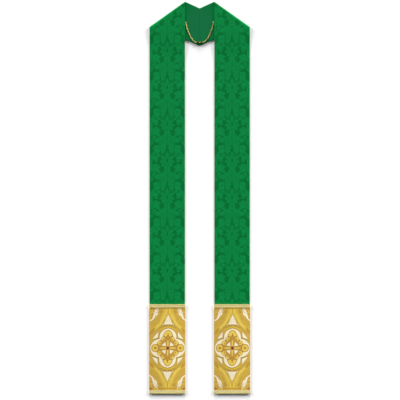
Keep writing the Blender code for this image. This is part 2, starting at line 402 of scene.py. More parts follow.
# Its motifs on one half of the strap, from the flower's middle: shape, shade (1 figure, 0 ground),
# across, down, half length, half width and turn. They are painted in this order.
DAMASK_FIGURE = [
    # paler clouds in the ground
    (ROUND, 0.38, 24, -54, 6, 18, 0),
    (ROUND, 0.38, 0, -60, 4, 15, 0),
    (ROUND, 0.3, 15, -22, 13, 9, 0),
    (ROUND, 0.38, 47, 58, 15, 10, 0),
    # long leaf that climbs the edge
    (LEAF, 0.85, 59, 12, 38, 9, 90),
    (LEAF, 0.8, 47.5, -19.5, 16, 5.2, 52),
    (LEAF, 0.7, 49.5, -8, 9, 4.5, 60),
    (LEAF, 0.6, 50, 36, 9, 4.4, 112),
    (LEAF, 0.8, 56, -60, 11, 7, 55),
    (LEAF, 0.6, 60, -46, 14, 2.4, 90),
    (LEAF, 0.7, 60, 56, 16, 5, 94),
    (LEAF, 0.5, 56.5, 10, 30, 0.6, 90),
    (LEAF, 0.5, 48, -19, 12, 0.6, 52),
    # scroll
    (ROUND, 0.95, 40, -8, 9.2, 7.4, 0),
    (ROUND, 0.7, 37.5, 2.2, 6.6, 3.8, 0),
    (LEAF, 0.4, 46, -2.2, 7.5, 2.2, 5),
    (LEAF, 0.6, 39.5, -6.4, 6, 0.6, 4),
    (ROUND, 0.4, 39.6, -19.6, 5, 3.2, 0),
    (LEAF, 0.95, 29.4, -18, 7.6, 3.8, 138),
    (LEAF, 0.5, 29.4, -18, 5.6, 0.5, 138),
    # bud
    (ROUND, 0.9, 36.2, -43.5, 10.4, 8.2, 0),
    (ROUND, 0.95, 33.8, -33, 9.2, 8.4, 0),
    (LEAF, 0.8, 41.5, -35.5, 9, 4, 72),
    (LEAF, 0.4, 33, -40.5, 5, 2.2, -5),
    (LEAF, 0.6, 37.5, -46.5, 8, 0.6, -6),
    (LEAF, 0.6, 34, -31.5, 7, 0.6, -12),
    (LEAF, 0.5, 24.8, -40, 8, 2.4, 90),
    # big leaves
    (LEAF, 0.8, 11.9, -62, 34, 10.2, 88),
    (ROUND, 0.9, 13.0, -42, 18, 8.4, 82),
    (LEAF, 0.4, 12.7, -46, 22, 0.8, 86),
    *[(LEAF, 0.4, across, down, 7, 0.8, turn) for across, down, turn in BIG_LEAF_VEINS],
    # round flower
    (ROUND, 0.66, 0, 2.4, 18.6, 17.6, 0),
    (LEAF, 0.55, 0, -24, 8, 4.2, 90),
    (LEAF, 0.84, 0, -18.6, 8, 4.8, 90),
    (LEAF, 0.86, 15.2, -9.2, 8.0, 4.8, -32),
    (LEAF, 0.82, 18.6, 4.0, 6.4, 4.4, 10),
    (LEAF, 0.9, 12.6, 14.6, 7.8, 4.6, 52),
    (LEAF, 0.9, 0, 16, 7, 4.2, 90),
    (LEAF, 0.5, 15.6, -9.6, 6.4, 0.6, -32),
    (LEAF, 0.5, 18.6, 4.0, 5.4, 0.6, 10),
    (LEAF, 0.5, 12.4, 16, 6.8, 0.6, 54),
    (FLOWER, 0.81, 0, 0, 9.6, 0.9, 8),
    (LEAF, 0, 0, 0.4, 7.2, 3.6, 90),
    # bloom
    (ROUND, 0.9, 38, 17, 7.6, 5.6, 0),
    (ROUND, 0.9, 38.5, 20.4, 12, 5.4, 0),
    (LEAF, 0.85, 29.5, 21.5, 6.6, 4.6, 0),
    (LEAF, 0.6, 33.5, 39, 7, 3, 20),
    (ROUND, 0.95, 39.4, 28.4, 9.4, 9.2, 0),
    (LEAF, 0.7, 39, 21.5, 9, 1.2, 0),
    (LEAF, 0.7, 39.2, 21.5, 8, 1.2, 90),
    (RAYS, 0.65, 39.4, 29.5, 7, 0.4, 3.5),
    (LEAF, 0.75, 28, 37, 15, 3.6, 105),
    # stem and crown
    (ROUND, 0.72, 0, 37, 10.6, 20, 0),
    (ROUND, 0.72, 14, 46, 13.5, 7.2, 12),
    (ROUND, 0.66, 0, 62, 27, 15, 0),
    (LEAF, 0.95, 5.5, 26, 9, 3.0, 110),
    (LEAF, 0.86, 6.2, 37.6, 9, 3.2, 128),
    (LEAF, 0.4, 3.5, 45, 7, 1.0, 135),
    (LEAF, 0.95, 9.5, 48, 9, 2.6, 150),
    (LEAF, 0.9, 20, 51, 7, 3.2, 25),
    (LEAF, 0.9, 7, 60, 8, 2.4, 60),
    (LEAF, 0.5, 0, 33, 12, 0.8, 90),
    (LEAF, 0.4, 0, 52, 8, 1.6, 90),
    (LEAF, 0.45, 0, 18.2, 9, 2.0, 0),
    # small flower and leaf
    (FLOWER, 0.9, 33.4, 55.6, 8.2, 0.6, 5),
    (FLOWER, 0.85, 33.4, -68.8, 8.2, 0.6, 5),
    (SPIRAL, 0.5, 33.4, 55.6, 6.4, 3.2, -0.8),
    (LEAF, 0.9, 45, 46.5, 8, 3.6, 40),
    (LEAF, 0.5, 45, 46.5, 6, 0.5, 40),
]

DAMASK_GROUND = linear(6, 109, 49)
DAMASK_FIGURE_GREEN = linear(15, 134, 68)
SILK = {"Specular IOR Level": 0.15, "Specular Tint": (0.04, 0.5, 0.22, 1.0)}
# The painted highlight along the shoulder fold: its colour, and how far it reaches to each side.
FOLD_HIGHLIGHT_GREEN = linear(14, 162, 78)
FOLD_HIGHLIGHT_REACH = 11.0  # mm to each side of the fold
# Painted light where the front comes down past the neck piece.
DRAPE_PAINTED_LIGHT = 0.12
SATIN_GREEN = linear(13, 110, 57)
# The painted sheen in the middle of the neck lining.
SATIN_SHEEN_GREEN = linear(23, 109, 63)
SATIN_SEAM_SHADE = 0.12
NECK_MIDDLE_DROP = 82 * MM


def damask_figure(finish, at):
    """How much of the figure shows at a place on the cut cloth, from 0 to 1."""
    x, y, _ = finish.apart(at)
    across = calculate("PINGPONG", abs(x), DAMASK_HALF)
    down = calculate("WRAP", DAMASK_FLOWER_Y - y, DAMASK_REPEAT - DAMASK_TOP, -DAMASK_TOP)
    spot = finish.together(across, down)
    shown = 0.0
    for shape, shade, *sizes in DAMASK_FIGURE:
        value, edge = shape(finish, spot, *sizes)
        if shade > BRIGHT_SHADE:
            border = finish.step(value, edge + DAMASK_OUTLINE, DAMASK_SOFT)
            shown = finish.blend(border, shown, OUTLINE_SHADE)
        cloud = CLOUD_SHADES[0] < shade < CLOUD_SHADES[1]
        inside = finish.step(value, edge, CLOUD_SOFT if cloud else DAMASK_SOFT)
        shown = finish.blend(inside, shown, shade)
    return shown


def threads(finish, at, across, along):
    """The height of a fine weave with that many millimetres from thread to thread."""
    x, y, _ = finish.apart(at)
    over = calculate("SINE", x * (2 * math.pi / across))
    under = calculate("SINE", y * (2 * math.pi / along))
    return over * under * 0.5 + 0.5


def damask():
    """Green damask: the figure is paler and smoother than its ground."""
    finish = Finish("green damask", SILK)
    at = finish.place("cut")
    shown = damask_figure(finish, at)
    colour = finish.mix(shown, DAMASK_GROUND, DAMASK_FIGURE_GREEN)
    # Silk that is unevenly lustrous: long slubs along the strap, and a soft mottle.
    slub = finish.noise(at, 1.0, 3.0, (0.6, 14.0, 1.0))
    mottle = finish.noise(at, 9.0, 2.0)
    fleck = finish.noise(at, 4.5, 3.0)
    tone = 0.63 + slub * 0.2 + mottle * 0.16 + fleck * 0.36
    # Painted highlight: the cloth is made lighter along the shoulder fold, most of all at its outer end.
    x, y, _ = finish.apart(at)
    from_fold = (x - FOLD_CUT.x) * FOLD_OUT.x + (y - FOLD_CUT.y) * FOLD_OUT.y
    fold_highlight = finish.ease(abs(from_fold), FOLD_HIGHLIGHT_REACH, 0.0) * finish.ease(x, -45.0, 45.0, 0.1, 0.8)
    colour = finish.mix(fold_highlight, colour, FOLD_HIGHLIGHT_GREEN)
    # Painted light: the silk is made a little paler where the front comes down past the neck piece,
    # against the shade of that slope.
    shoulder, along = neck_edge()
    start = ((CENTRE_X - shoulder.x) * along.y + shoulder.y * along.x) / MM
    below = y * along.x - x * along.y - start
    half = DRAPE_LENGTH / 2 / MM
    tone = tone * (1.0 + finish.ease(abs(below - half), half, half * 0.2) * DRAPE_PAINTED_LIGHT)
    finish.set("Base Color", finish.shaded(colour, tone))
    finish.set("Roughness", 0.56 - shown * 0.14)
    finish.relief(threads(finish, at, 0.7, 0.5) + slub, 0.04 * MM, 0.5)
    return finish.material


def satin():
    finish = Finish("green satin", SILK)
    at = finish.place("cut")
    slub = finish.noise(at, 1.0, 3.0, (0.5, 16.0, 1.0))
    mottle = finish.noise(at, 14.0, 2.0)
    fleck = finish.noise(at, 4.0, 3.0)
    # Painted sheen: the satin is made paler where it bows up in the middle of the neck.
    x, y, _ = finish.apart(finish.place())
    from_sheen_middle = finish.length(finish.together(x * 1.4, y - (TOP_Y - NECK_MIDDLE_DROP) / MM))
    colour = finish.mix(finish.ease(from_sheen_middle, 76.0, 46.0), SATIN_GREEN, SATIN_SHEEN_GREEN)
    # Painted shade: the satin is made darker along the centre-back seam.
    seam = finish.ease(abs(x), 2.4, 0.6)
    tone = (0.7 + slub * 0.18 + mottle * 0.14 + fleck * 0.28) * (1.0 - seam * SATIN_SEAM_SHADE)
    finish.set("Base Color", finish.shaded(colour, tone))
    finish.set("Roughness", 0.36 + slub * 0.12)
    finish.relief(threads(finish, at, 0.35, 0.6) + slub, 0.03 * MM, 0.4)
    return finish.material


# The brocade's threads.
THREADS = {
    "ground": linear(212, 174, 72),
    "bright": linear(240, 208, 90),
    "mid": linear(224, 190, 74),
    "deep": linear(200, 156, 60),
    "olive": linear(184, 156, 66),
    "line": linear(184, 134, 70),
    "pale": linear(236, 216, 156),
    "cream": linear(254, 242, 206),
    "rust": linear(170, 110, 56),
    "wine": linear(118, 30, 36),
}
# Its figure on a quarter of the frame, from the medallion's middle: shape, thread, across, up, half
# length, half width, turn and how far a darker outline stands out round it, in mm.
FRAME_CENTRE = (101, 139)
FRAME_RINGS = [("olive", 100.5), ("mid", 98), ("bright", 94.5), ("mid", 89.5), ("ground", 85.5)]
BROCADE_FIELD = [
    *[(ROUND, thread, *FRAME_CENTRE, radius, radius, 0, 0) for thread, radius in FRAME_RINGS],
    (LEAF, "deep", 60, 52, 25, 5, 133, 0),
    (ROUND, "mid", 0, 128, 15, 17, 0, 0),
    (LEAF, "bright", 9, 104, 9, 1.2, 118, 0),
    (LEAF, "bright", 25, 79, 10, 1.6, 131, 0),
    (LEAF, "deep", 23, 124, 9, 3.4, 130, 0),
    (LEAF, "bright", 6, 124, 12, 2, 104, 0),
    (LEAF, "deep", 16, 138, 24, 3, 0, 0),
    (LEAF, "olive", 0, 128, 14, 0.9, 90, 0),
    (LEAF, "cream", 12.5, 82.0, 8.5, 2.0, 168, 0.8),
    (PEAK, "cream", 0, 97, 17, 15.5, 90, 0.8),
    (ROUND, "line", 0, 77.8, 1.8, 1.3, 0, 0),
    (ROUND, "line", 6, 77.6, 1.8, 1.3, 0, 0),
    (ROUND, "line", 12, 77.0, 1.8, 1.3, 0, 0),
    (LEAF, "cream", 42.5, 119, 14, 7.6, 104, 0.8),
    (LEAF, "cream", 48.3, 108, 16, 4.4, 113, 0.6),
    (LEAF, "pale", 35, 134, 7, 2.4, 100, 0),
    (LEAF, "cream", 39, 130, 8, 1.6, 72, 0.6),
    (LEAF, "cream", 35, 125, 6, 1.6, 140, 0.6),
    (LEAF, "cream", 57.5, 95, 7, 2, 150, 0.6),
    (FLOWER, "mid", 56.5, 123, 5.6, 0.8, 5, 1.2),
    (ROUND, "rust", 57, 123, 1.6, 1.6, 0, 0),
    (ROUND, "mid", 57.5, 108, 4.6, 6.4, 0, 1.2),
    (LEAF, "rust", 57, 107, 4, 1.1, 70, 0),
    (LEAF, "mid", 47, 125, 4, 1.6, 70, 0),
    (ROUND, "mid", 52, 133, 4.6, 3.6, 0, 1.0),
    (ROUND, "rust", 56, 138, 4.4, 3, 0, 0.8),
]
# The medallion's lobes, and the pieces between its arms and the frame.
MEDALLION = [(ROUND, 28, 0, 31, 30.5, 0), (ROUND, 0, 37, 28.6, 28.6, 0), (LEAF, 0, 54, 13.5, 8, 90)]
MEDALLION_DARTS = [
    (LEAF, "cream", 42.8, 42.4, 17, 1.8, 127.6, 0.6),
    (PEAK, "cream", 38.6, 39.2, 5.4, 16.5, 217.6, 0.6),
    (LEAF, "olive", 30.2, 40, 12, 2.2, 100, 0),
    (LEAF, "olive", 41, 30.8, 13, 2.2, -16, 0),
    (ROUND, "rust", 4.3, 75.2, 1.5, 1.5, 0, 0),
    (ROUND, "rust", 12.6, 73.4, 1.5, 1.5, 0, 0),
]
# Rings round it, from the outermost: thread, how far out it ends, and how far its edge waves.
MEDALLION_RINGS = [("olive", 12.2, 1.0), ("ground", 8.6, 1.0), ("mid", 7.4, 0.0), ("deep", 3.4, 0.0)]
MEDALLION_RING_END = 25.0
MEDALLION_BORDER = [("olive", 1.2), ("cream", 0.0)]
SCALLOPS = 36
MEDALLION_HEART = [
    (WEDGE, "deep", 0, 26.5, 26.5, 47, 90, 1.2),
    (LEAF, "mid", 0, 46, 14.4, 12.4, 90, 1.4),
    (ROUND, "mid", 0, 43, 15, 11, 0, 1.2),
    (LEAF, "deep", 0, 43, 14, 11, 90, 0),
    (LEAF, "bright", 7.2, 46.5, 10, 5.4, 116, 0),
    (ROUND, "rust", 0, 44, 1.2, 5.4, 0, 0),
    (LEAF, "bright", 0, 54.5, 4.6, 3, 90, 0),
    (FLOWER, "bright", 15.0, 30.4, 7.2, 0.9, 5, 1.3),
    (FLOWER, "bright", 28.0, 16.8, 7.0, 0.9, 5, 1.3),
    (ROUND, "deep", 12.5, 28, 3.4, 4.4, 30, 0.6),
    (ROUND, "mid", 12.8, 28, 1.6, 2.0, 30, 0),
    (ROUND, "deep", 26, 15.5, 2.6, 3.2, 30, 0),
    (LEAF, "rust", 10, 38, 9, 1.5, 32, 0),
    (LEAF, "rust", 33.5, 11, 7, 1.4, 55, 0),
    (LEAF, "line", 22, 24, 7, 1.4, 50, 0),
    (LEAF, "bright", 19, 34, 5, 1.6, 130, 0),
    (LEAF, "bright", 32, 20, 5, 1.6, 130, 0),
    (ROUND, "deep", 42.6, 0, 12, 12.4, 0, 1.4),
    (ROUND, "bright", 42.6, 0, 10.6, 11, 0, 0),
    (ROUND, "deep", 42.6, 0, 5.0, 5.0, 0, 0),
    (ROUND, "rust", 42.6, 0, 1.6, 1.6, 0, 0),
    (PEAK, "cream", 10.6, 10.6, 6.2, 9, 225, 1.0),
    (ROUND, "bright", 0, 15, 2.7, 14, 0, 1.1),
    (ROUND, "bright", 15, 0, 14, 2.7, 0, 1.1),
    (FLOWER, "rust", 0, 0, 5.2, 1.3, 4, 0),
    (FLOWER, "wine", 0, 0, 3.8, 1.3, 4, 0),
]
MEDALLION_Y = -510.2 * MM
# How far the figure was set off the band's middle, at its lower and its upper end, in mm.
MEDALLION_OFF = {-1: (0.4, 3.4), 1: (0.0, 2.0)}
BROCADE_SOFT = 0.4
WEFT = 0.9
PAINTED_LIGHT_STRIP = (4.4, 2.0)  # below the upper braid: where the painted light begins, and where it is full
PAINTED_LIGHT_GAIN = 1.1


class Brocade:
    """The brocade's figure as it is painted shape over shape."""

    def __init__(self, finish, spot):
        self.finish = finish
        self.spot = spot
        self.colour = THREADS["ground"]

    def lay(self, value, edge, thread, outline=0.0):
        if outline:
            self.lay(value, edge + outline, "line")
        inside = self.finish.step(value, edge, BROCADE_SOFT)
        self.colour = self.finish.mix(inside, self.colour, THREADS[thread])

    def lay_all(self, figure):
        for shape, thread, *sizes, outline in figure:
            self.lay(*shape(self.finish, self.spot, *sizes), thread, outline)


def brocade(side):
    """Gold brocade with its medallion in the middle of that side's band."""
    sockets = {"Metallic": 0.2, "Specular IOR Level": 0.2}
    finish = Finish("gold brocade " + ("left" if side < 0 else "right"), sockets)
    at = finish.place()
    x, y, _ = finish.apart(finish.moved(at, side * CENTRE_X / MM, MEDALLION_Y / MM))
    across = abs(x - finish.ease(y, -90.0, 90.0, *MEDALLION_OFF[side]))
    up = abs(y)
    figure = Brocade(finish, finish.together(across, up))
    lobes = [shape(finish, figure.spot, *sizes) for shape, *sizes in MEDALLION]
    medallion = smallest(*[value - edge for value, edge in lobes])
    scallop = calculate("COSINE", calculate("ARCTAN2", up, across) * SCALLOPS) * 0.7
    for thread, edge, wave in MEDALLION_RINGS:
        ring_edge = medallion - scallop * wave - edge
        figure.lay(calculate("MAXIMUM", ring_edge, across - MEDALLION_RING_END), 0.0, thread)
    figure.lay_all(BROCADE_FIELD)
    figure.lay_all(MEDALLION_DARTS)
    for thread, edge in MEDALLION_BORDER:
        figure.lay(medallion, edge, thread)
    figure.lay_all(MEDALLION_HEART)
    # Weft ribs, thread that lies a little unevenly, and lines that follow the frame's curve. Painted
    # light: the brocade is made paler towards the right.
    rib = calculate("SINE", y * (2 * math.pi / WEFT))
    slub = finish.noise(at, 1.0, 3.0, (9.0, WEFT, 1.0))
    mottle = finish.noise(at, 4.0, 3.0)
    from_corner = finish.moved(figure.spot, *FRAME_CENTRE)
    corner_x, corner_y, _ = finish.apart(from_corner)
    bend = calculate("ARCTAN2", corner_y, corner_x) * 90.0
    brushed = finish.together(finish.length(from_corner), bend)
    strokes = finish.noise(brushed, 3.2, 3.0, (1.0, 9.0, 1.0))
    field = finish.ease(medallion, 2.0, 14.0)
    painted_light = finish.ease(x, -30.0, 30.0, 0.955, 1.035)
    brush = (strokes - 0.5) * field
    # Painted light: the brocade is made paler just below the upper braid, where that braid's shadow
    # falls.
    braid_edge = (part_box("braid_top_left")[0].y - MEDALLION_Y) / MM
    under_braid_light = finish.ease(y, *[braid_edge - away for away in PAINTED_LIGHT_STRIP])
    painted_light = painted_light * (1.0 + under_braid_light * PAINTED_LIGHT_GAIN)
    tone = (0.743 + slub * 0.2 + mottle * 0.32 + rib * 0.03 + brush * 0.7) * painted_light
    finish.set("Base Color", finish.shaded(figure.colour, tone))
    finish.set("Roughness", 0.5 + mottle * 0.2)
    finish.relief(rib * 0.5 + slub, 0.12 * MM, 0.5)
    return finish.material


def yarn(name, *colour):
    """Smooth spun thread, as in braid."""
    finish = Finish(name, {"Metallic": 0.2, "Sheen Weight": 0.1})
    at = finish.place()
    fibre = finish.noise(at, 0.5, 2.0, (1.0, 0.35, 1.0))
    patch = finish.noise(at, 6.0, 2.0)
    finish.set("Base Color", finish.shaded(linear(*colour), 0.78 + fibre * 0.22 + patch * 0.2))
    finish.set("Roughness", 0.4 + fibre * 0.2)
    finish.relief(fibre, 0.1 * MM, 0.6)
    return finish.material


def metal(name, bright, dull, roughness):
    """Plated metal, duller and rougher in some patches than in others."""
    finish = Finish(name, {"Metallic": 1.0})
    at = finish.place()
    wear = finish.noise(at, 2.4, 3.0)
    fine = finish.noise(at, 0.35, 2.0)
    worn = finish.ease(wear, 0.35, 0.65)
    finish.set("Base Color", finish.mix(worn, linear(*dull), linear(*bright)))
    finish.set("Roughness", roughness + fine * 0.2 - worn * 0.1)
    finish.relief(fine, 0.03 * MM, 0.4)
    return finish.material


# Making and finishing pieces.


def only(obj):
    """Leaves nothing but this object selected."""
    bpy.ops.object.select_all(action="DESELECT")
    obj.select_set(True)
    bpy.context.view_layer.objects.active = obj


def edit(obj):
    only(obj)
    bpy.ops.object.mode_set(mode="EDIT")
    bpy.ops.mesh.select_all(action="DESELECT")


def done():
    bpy.ops.object.mode_set(mode="OBJECT")


def choose(kind, wanted):
    """In edit mode, selects the vertices, edges or faces that wanted(element) picks."""
    bpy.ops.mesh.select_all(action="DESELECT")
    bpy.ops.mesh.select_mode(type=kind)
    form = bmesh.from_edit_mesh(bpy.context.object.data)
    for element in {"VERT": form.verts, "EDGE": form.edges, "FACE": form.faces}[kind]:
        if wanted(element):
            element.select_set(True)
    form.select_flush_mode()
    bmesh.update_edit_mesh(bpy.context.object.data)


def middle(edge):
    return (edge.verts[0].co + edge.verts[1].co) / 2


def span(edge):
    return edge.verts[1].co - edge.verts[0].co


def apply(obj, kind, **settings):
    modifier = obj.modifiers.new(kind.title(), kind)
    for name, value in settings.items():
        setattr(modifier, name, value)
    only(obj)
    bpy.ops.object.modifier_apply(modifier=modifier.name)


def named(name):
    made = bpy.context.object
    made.name = name
    made.data.name = name
    return made


def settle(obj):
    """Puts the object's place, turn and size into its mesh."""
    only(obj)
    bpy.ops.object.transform_apply(location=True, rotation=True, scale=True)


def smooth(obj, angle=180):
    """Shades the piece smooth, apart from edges that turn by more than that many degrees."""
    only(obj)
    if angle < 180:
        bpy.ops.object.shade_smooth_by_angle(angle=math.radians(angle))
    else:
        bpy.ops.object.shade_smooth()


def wire_ring(name, radius, wire, around, across):
    """A ring of round wire, flat on the origin."""
    bpy.ops.mesh.primitive_torus_add(
        major_radius=radius, minor_radius=wire, major_segments=around, minor_segments=across
    )
    return named(name)


def repeated(pattern, places, name):
    """One piece made of a copy of a small shape at each place."""
    form = bmesh.new()
    for place in places:
        copy = pattern.data.copy()
        copy.transform(place)
        form.from_mesh(copy)
        bpy.data.meshes.remove(copy)
    mesh = bpy.data.meshes.new(name)
    form.to_mesh(mesh)
    form.free()
    for surface in pattern.data.materials:
        mesh.materials.append(surface)
    made = bpy.data.objects.new(name, mesh)
    bpy.context.scene.collection.objects.link(made)
    smooth(made)
    return made


def joined(name, *parts):
    bpy.ops.object.select_all(action="DESELECT")
    for part in parts:
        part.select_set(True)
    bpy.context.view_layer.objects.active = parts[0]
    if len(parts) > 1:
        bpy.ops.object.join()
    return named(name)


def cover(piece, node):
    """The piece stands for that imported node."""
    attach(piece, "root")
    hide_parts(node)
    return piece


# Cloth, as rows of places on its middle, each with its place on the cut cloth. It is worked out on
# the right side and mirrored to the left.


def fold_y(x):
    return FOLD_START.y + (x - FOLD_START.x) * FOLD_ALONG.y / FOLD_ALONG.x


def turned(x, angle):
    """The middle of the cloth in the fold: angle runs from 0 on the front to pi on the back."""
    flat = Vector((x, fold_y(x)))
    flat += FOLD_ALONG * FOLD_SLIP * TURN_RADIUS * angle
    flat += FOLD_OUT * TURN_RADIUS * math.sin(angle)
    return Vector((*flat, STACK / 2 + TURN_RADIUS * math.cos(angle)))


def lower_edge():
    """The neck piece's lower edge: its shoulder end, its bend at the front's edge and its point."""
    shoulder = turned(OUTER_X, math.pi).xy
    bend = Vector((INNER_X, TOP_Y - SIDE_DROP))
    point = Vector((CENTRE_GAP / 2, TOP_Y - POINT_DROP))
    return shoulder, bend, point


def neck_edge():
    """Where that edge starts under the front, and its direction there."""
    shoulder, bend, _ = lower_edge()
    return shoulder, (bend - shoulder).normalized()


def front_height(x, y):
    """The front's underside: on the neck lining, then easing down to the surface."""
    shoulder, along = neck_edge()
    past = Vector((x, y)) - shoulder
    below = past.y * along.x - past.x * along.y
    eased = min(max(below / DRAPE_LENGTH, 0.0), 1.0)
    return FRONT_LIFT * (0.5 + 0.5 * math.cos(math.pi * eased))


# Faint creases of the fronts: across from the strap's middle and drop of their middle, in mm, half
# length, half width, turn in degrees and height.
CREASES = [
    (-20, 96, 34, 9, 64, 0.10),
    (28, 118, 40, 11, 38, 0.12),
    (6, 205, 55, 14, 8, 0.12),
    (-30, 330, 60, 16, -6, 0.10),
    (22, 505, 70, 17, 5, 0.12),
    (-12, 720, 62, 15, -4, 0.10),
    (30, 890, 66, 16, 7, 0.10),
]


def crease(x, y):
    """How far the soft ridges lift the cloth there."""
    height = 0.0
    for across, drop, length, width, turn, rise in CREASES:
        away = Vector((x - CENTRE_X - across * MM, y - TOP_Y + drop * MM))
        away.rotate(Matrix.Rotation(-math.radians(turn), 2))
        height += rise * MM * math.exp(-((away.x / (length * MM)) ** 2) - (away.y / (width * MM)) ** 2)
    return height


def on_front(x, y):
    height = front_height(x, y) + STRAP_WALL / 2 + crease(x, y)
    return Vector((x, y, height)), Vector((x - CENTRE_X, y))


FRONT_COLUMNS = 26
FRONT_ROWS = 120
DRAPE_ROWS = 36
TURN_ROWS = 16
BACK_ROWS = 30


def across_places():
    """The places across the strap, closer together at its rounded corners."""
    near = [STRAP_CORNER / (OUTER_X - INNER_X) * place for place in (0.1, 0.4, 1.0)]
    return sorted({*share(FRONT_COLUMNS), *near, *(1 - place for place in near)})


def hem_y(x):
    from_centre = STRAP_CORNER - min(x - INNER_X, OUTER_X - x)
    rise = STRAP_CORNER - math.sqrt(STRAP_CORNER**2 - max(from_centre, 0.0) ** 2)
    return HEM_Y + BAND_WALL + SEAM_GAP + rise


def front_rows():
    level_y = TOP_Y - LEVEL_DROP
    columns = [between(INNER_X, OUTER_X, place) for place in across_places()]
    rows = []
    for place in share(FRONT_ROWS)[:-1]:
        rows.append([on_front(x, between(hem_y(x), level_y, place)) for x in columns])
    for place in share(DRAPE_ROWS):
        rows.append([on_front(x, between(level_y, fold_y(x), place)) for x in columns])
    for angle in [math.pi * place for place in share(TURN_ROWS)[1:]]:
        up = TURN_RADIUS * angle / FOLD_OUT.y
        rows.append([(turned(x, angle), Vector((x - CENTRE_X, fold_y(x) + up))) for x in columns])
    return rows


def unfolded(flat):
    """A place on the back part, as it was on the cut cloth before the shoulder was folded."""
    away = flat - turned(INNER_X, math.pi).xy
    cut = Vector((INNER_X - CENTRE_X, fold_y(INNER_X) + TURN_RADIUS * math.pi / FOLD_OUT.y))
    return cut + FOLD_ALONG * away.dot(FOLD_ALONG) - FOLD_OUT * away.dot(FOLD_OUT)


def back_rows(inset, start, height):
    """Rows across the back part, from the shoulder fold to the centre-back seam."""
    shoulder, bend, point = lower_edge()
    top = turned(INNER_X, math.pi).xy
    notch = Vector((CENTRE_GAP / 2, TOP_Y - NOTCH_DROP))
    rows = []
    for place in sorted({*share(BACK_ROWS), SIDE_PLACE, start} - {0.0}):
        if place < start:
            continue
        upper = between(top, notch, place)
        if place < SIDE_PLACE:
            lower = between(shoulder, bend, place / SIDE_PLACE)
        else:
            lower = between(bend, point, (place - SIDE_PLACE) / (1 - SIDE_PLACE))
        inward = (lower - upper).normalized() * inset
        flats = [between(upper + inward, lower - inward, step) for step in across_places()]
        rows.append([(Vector((*flat, height(*flat))), unfolded(flat)) for flat in flats])
    return rows


def pucker(x, y):
    """The lining's height above its own level: gathered a little along the centre-back seam."""
    seam = math.exp(-((x / (7 * MM)) ** 2))
    gather = 0.5 + 0.5 * math.sin(y / (1.1 * MM) + 1.3 * math.sin(y / (4.3 * MM)))
    soft = noise.noise(Vector((x, y, 0.0)) / (26 * MM))
    roll = -0.08 * MM * math.exp(-((x / (1.6 * MM)) ** 2))
    return roll + 0.05 * MM * seam * (gather - 0.5) + 0.08 * MM * soft


def cut_size(rows):
    """The width, length and area of the cut cloth."""
    cuts = [[cut for _, cut in row] for row in rows]
    every = [cut for row in cuts for cut in row]
    area = 0.0
    for low, high in zip(cuts, cuts[1:]):
        for left in range(len(low) - 1):
            one = high[left + 1] - low[left]
            other = high[left] - low[left + 1]
            area += abs(one.x * other.y - one.y * other.x) / 2
    width = max(cut.x for cut in every) - min(cut.x for cut in every)
    length = max(cut.y for cut in every) - min(cut.y for cut in every)
    return width, length, area


def cloth(name, rows, side, facing, wall, edge, surfaces):
    """A closed thin shell on rows of places. facing is 1 where the rows run anticlockwise."""
    mesh = bpy.data.meshes.new(name)
    sheet = bmesh.new()
    layer = sheet.loops.layers.uv.new("cut")
    verts = [[sheet.verts.new((side * at.x, at.y, at.z)) for at, _ in row] for row in rows]
    cuts = {}
    for row, spots in zip(verts, rows):
        cuts.update((vert, cut) for vert, (_, cut) in zip(row, spots))
    for low, high in zip(verts, verts[1:]):
        for left in range(len(low) - 1):
            corners = (low[left], low[left + 1], high[left + 1], high[left])
            face = sheet.faces.new(corners[:: side * facing])
            face.smooth = True
            for loop in face.loops:
                loop[layer].uv = cuts[loop.vert]
    sheet.to_mesh(mesh)
    sheet.free()
    for surface in surfaces:
        mesh.materials.append(surface)
    made = bpy.data.objects.new(name, mesh)
    bpy.context.scene.collection.objects.link(made)
    shell = {"thickness": wall, "offset": 0.0, "use_even_offset": True}
    apply(made, "SOLIDIFY", material_offset=len(surfaces) - 1, **shell)
    apply(made, "BEVEL", width=edge, segments=3, limit_method="ANGLE", angle_limit=math.radians(60))
    return made


def strap(word, side, outside, inside):
    rows = front_rows() + back_rows(0.0, 0.0, lambda x, y: STRAP_WALL / 2)
    name = f"strap_{word}_cloth"
    made = cloth(name, rows, side, 1, STRAP_WALL, 0.4 * MM, [outside, inside])
    width, length, area = cut_size(rows)
    return cover(made, "strap_" + word)


def lining(word, side, surface):
    level = STRAP_WALL + SEAM_GAP + LINING_WALL / 2
    start = LINING_INSET / (OUTER_X - INNER_X)
    rows = back_rows(LINING_INSET, start, lambda x, y: level + pucker(x, y))
    made = cloth(f"neck_lining_{word}_cloth", rows, side, -1, LINING_WALL, 0.3 * MM, [surface])
    width, length, area = cut_size(rows)
    return cover(made, "neck_lining_" + word)


# The ends.


def block(name, low, high):
    bpy.ops.mesh.primitive_cube_add(size=1.0, location=(Vector(low) + Vector(high)) / 2)
    made = named(name)
    made.scale = Vector(high) - Vector(low)
    settle(made)
    return made


def band(word, surface):
    """Brocade over the end of a front: a shallow tray turned down at its sides and hem."""
    low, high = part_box("band_" + word)

    def top_edge(edge):
        ends = [vert.co for vert in edge.verts]
        on_top = min(end.z for end in ends) > high.z - NEAR
        return on_top and max(end.y for end in ends) < high.y + MM and not edge.is_boundary

    made = block(f"band_{word}_cloth", low, high)
    edit(made)
    choose("EDGE", lambda edge: abs(span(edge).z) > MM and middle(edge).y < low.y + MM)
    bpy.ops.mesh.bevel(offset=BAND_CORNER, segments=8)
    choose("FACE", lambda face: face.normal.z < -0.9 or face.normal.y > 0.9)
    bpy.ops.mesh.delete(type="FACE")
    choose("EDGE", top_edge)
    bpy.ops.mesh.bevel(offset=BAND_EDGE, segments=4)
    done()
    apply(made, "SOLIDIFY", thickness=BAND_WALL, offset=-1.0, use_even_offset=True)
    smooth(made, 50)
    made.data.materials.append(surface)
    return cover(made, "band_" + word)


